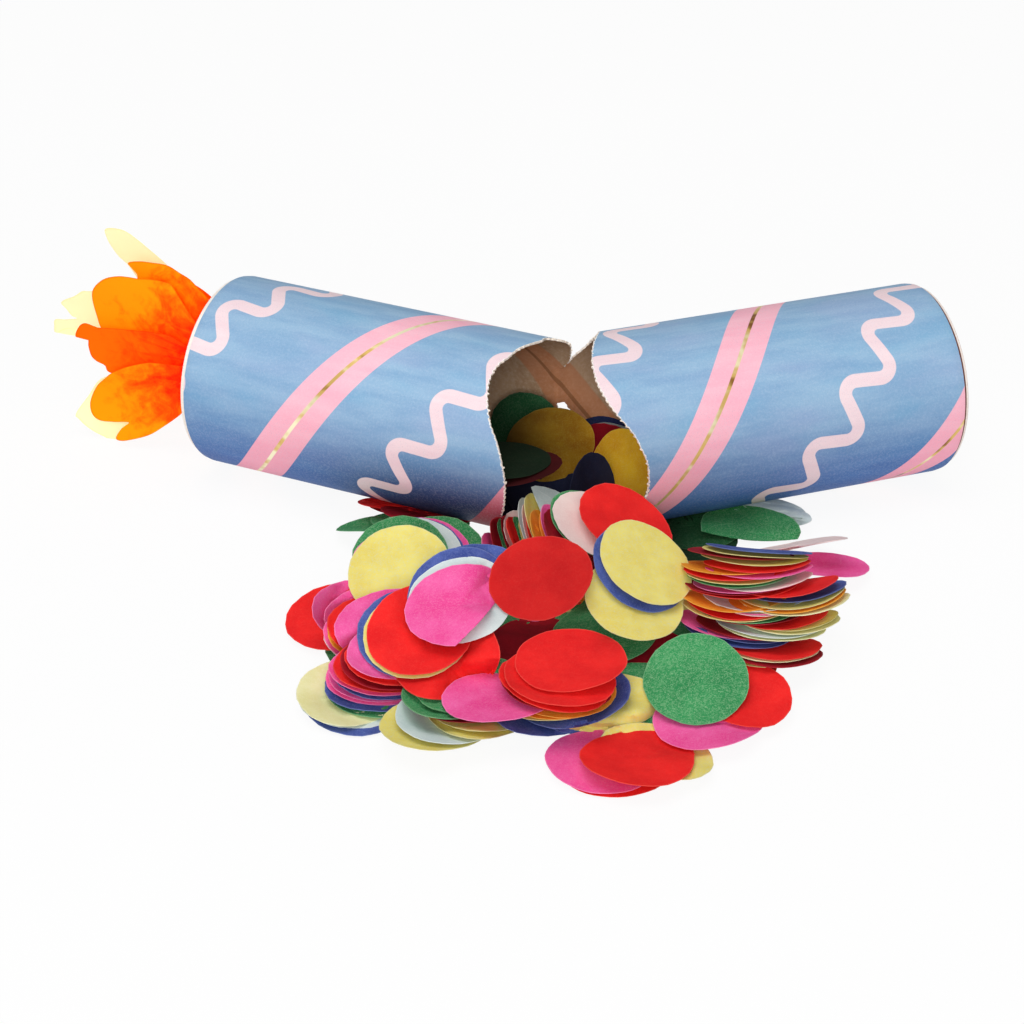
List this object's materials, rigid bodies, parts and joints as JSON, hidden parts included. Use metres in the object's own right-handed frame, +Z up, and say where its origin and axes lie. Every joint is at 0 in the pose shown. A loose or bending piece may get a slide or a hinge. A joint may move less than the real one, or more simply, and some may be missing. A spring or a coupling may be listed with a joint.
{
  "type": "party cracker",
  "caption": "Candle-shaped party cracker of printed card, pulled and torn open, with a tissue flame on one end and paper confetti spilled from its mouth.",
  "frame": {"origin": "middle of the whole object's footprint, on the surface that it lies on", "axes": "+X along the broken tube towards its base end, +Y towards the joined strip at the back, +Z up"},
  "size_m": [0.244, 0.1968, 0.0536],
  "materials": {
    "printed_card": "matte print, bare card inside",
    "white_card": "matte",
    "grey_card": "matte",
    "tissue_orange": "translucent tissue",
    "tissue_pale_yellow": "translucent tissue",
    "confetti_red": "mottled tissue",
    "confetti_magenta": "mottled tissue",
    "confetti_yellow": "mottled tissue",
    "confetti_green": "mottled tissue",
    "confetti_navy": "mottled tissue",
    "confetti_pale_pink": "mottled tissue"
  },
  "bodies": {
    "base_half": {"base_half_sleeve": "printed_card", "base_end_cap": "white_card", "snap_strip_base": "grey_card", "snap_band": "white_card", "hinge_strip": "printed_card", "confetti_navy_base": "confetti_navy", "confetti_yellow_base": "confetti_yellow", "confetti_bed": "confetti_navy", "confetti_navy_front_left": "confetti_navy", "confetti_cream_front_left": "confetti_yellow", "confetti_stack_front_left": "confetti_magenta", "confetti_stack_front": "confetti_yellow", "confetti_magenta_front": "confetti_magenta", "confetti_magenta_low_front": "confetti_magenta", "confetti_stack_front_middle": "confetti_navy", "confetti_magenta_front_right": "confetti_magenta", "confetti_red_front": "confetti_red", "confetti_red_right": "confetti_red", "confetti_red_far_left": "confetti_red", "confetti_stack_left": "confetti_magenta", "confetti_magenta_left": "confetti_magenta", "confetti_red_low_left": "confetti_red", "confetti_stack_back_left": "confetti_green", "confetti_yellow_left": "confetti_yellow", "confetti_red_left": "confetti_red", "confetti_navy_middle_left": "confetti_navy", "confetti_magenta_middle_left": "confetti_magenta", "confetti_red_low_middle": "confetti_red", "confetti_red_middle": "confetti_red", "confetti_fan_left": "confetti_green", "confetti_fan_right": "confetti_yellow", "confetti_pink_mouth": "confetti_pale_pink", "confetti_red_mouth": "confetti_red", "confetti_red_centre": "confetti_red", "confetti_stack_right_low": "confetti_pale_pink", "confetti_stack_right": "confetti_red", "confetti_yellow_low_right": "confetti_yellow", "confetti_yellow_right": "confetti_yellow", "confetti_magenta_far_right": "confetti_magenta", "confetti_green_front_right": "confetti_green", "confetti_green_under_tube": "confetti_green"},
    "flame_half": {"flame_half_sleeve": "printed_card", "flame_end_cap": "white_card", "flame_knot": "tissue_orange", "snap_strip_flame": "grey_card", "flame_petal_yellow_top": "tissue_pale_yellow", "flame_petal_orange_top": "tissue_orange", "flame_petal_big": "tissue_orange", "flame_petal_yellow_tail": "tissue_pale_yellow", "flame_petal_orange_middle": "tissue_orange", "flame_petal_orange_low": "tissue_orange", "flame_petal_yellow_low": "tissue_pale_yellow", "flame_petal_back": "tissue_orange", "confetti_stack_flame": "confetti_green", "confetti_green_flame": "confetti_green"}
  },
  "joints": [
    {"name": "torn_strip_fold", "type": "hinge", "parent": "base_half", "child": "flame_half", "pos_m": [0.01636, 0.0522, 0.025], "axis": [0, 0, -1], "range_deg": [0, 120], "deforming": ["hinge_strip"]}
  ]
}
